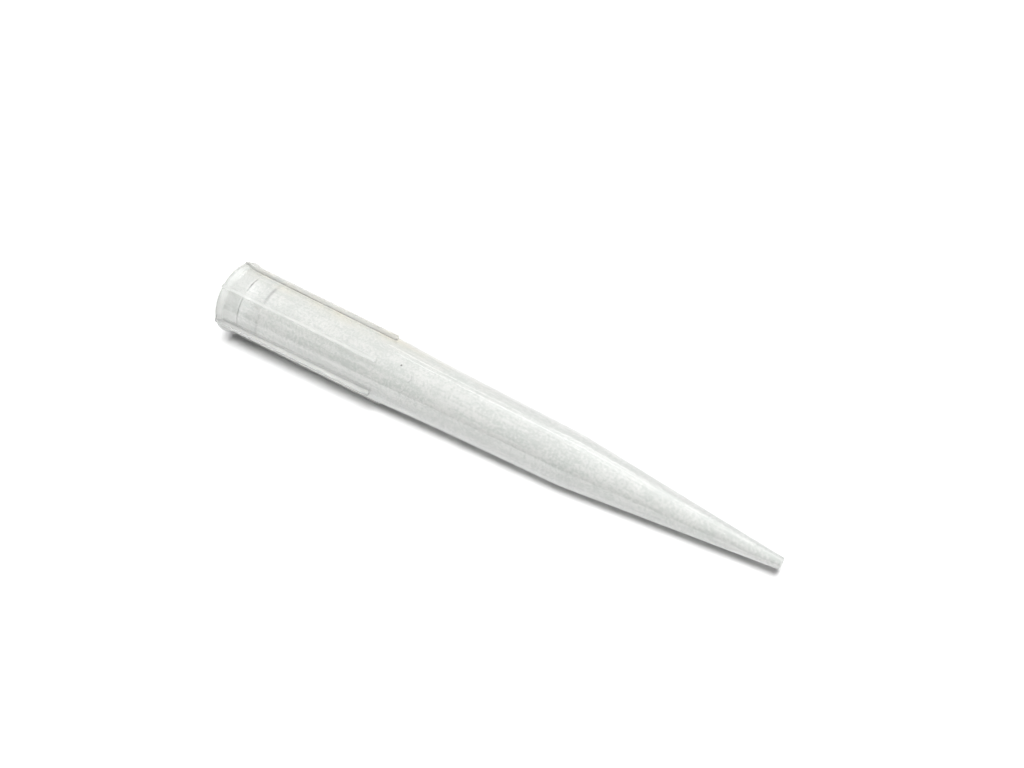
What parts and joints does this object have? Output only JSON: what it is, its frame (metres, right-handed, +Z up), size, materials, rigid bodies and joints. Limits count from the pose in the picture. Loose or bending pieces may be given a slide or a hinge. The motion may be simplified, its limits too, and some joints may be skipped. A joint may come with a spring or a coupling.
{
  "type": "pipette tip",
  "caption": "A long tapered pipette tip of translucent plastic, with a ribbed collar, a stepped seat for the pipette's nozzle and a fine outlet.",
  "frame": {"origin": "the middle of the bounding box at bench level, with the tip lying as it comes to rest", "axes": "+X runs from the mouth to the outlet, within two degrees of the tip's own axis, which falls towards the outlet; +Z is up"},
  "size_m": [0.0702, 0.009, 0.0089],
  "materials": {
    "natural_polypropylene": "natural translucent polypropylene, as moulded, with a soft gloss"
  },
  "bodies": {
    "root": {"pipette_tip": "natural_polypropylene"}
  },
  "joints": []
}
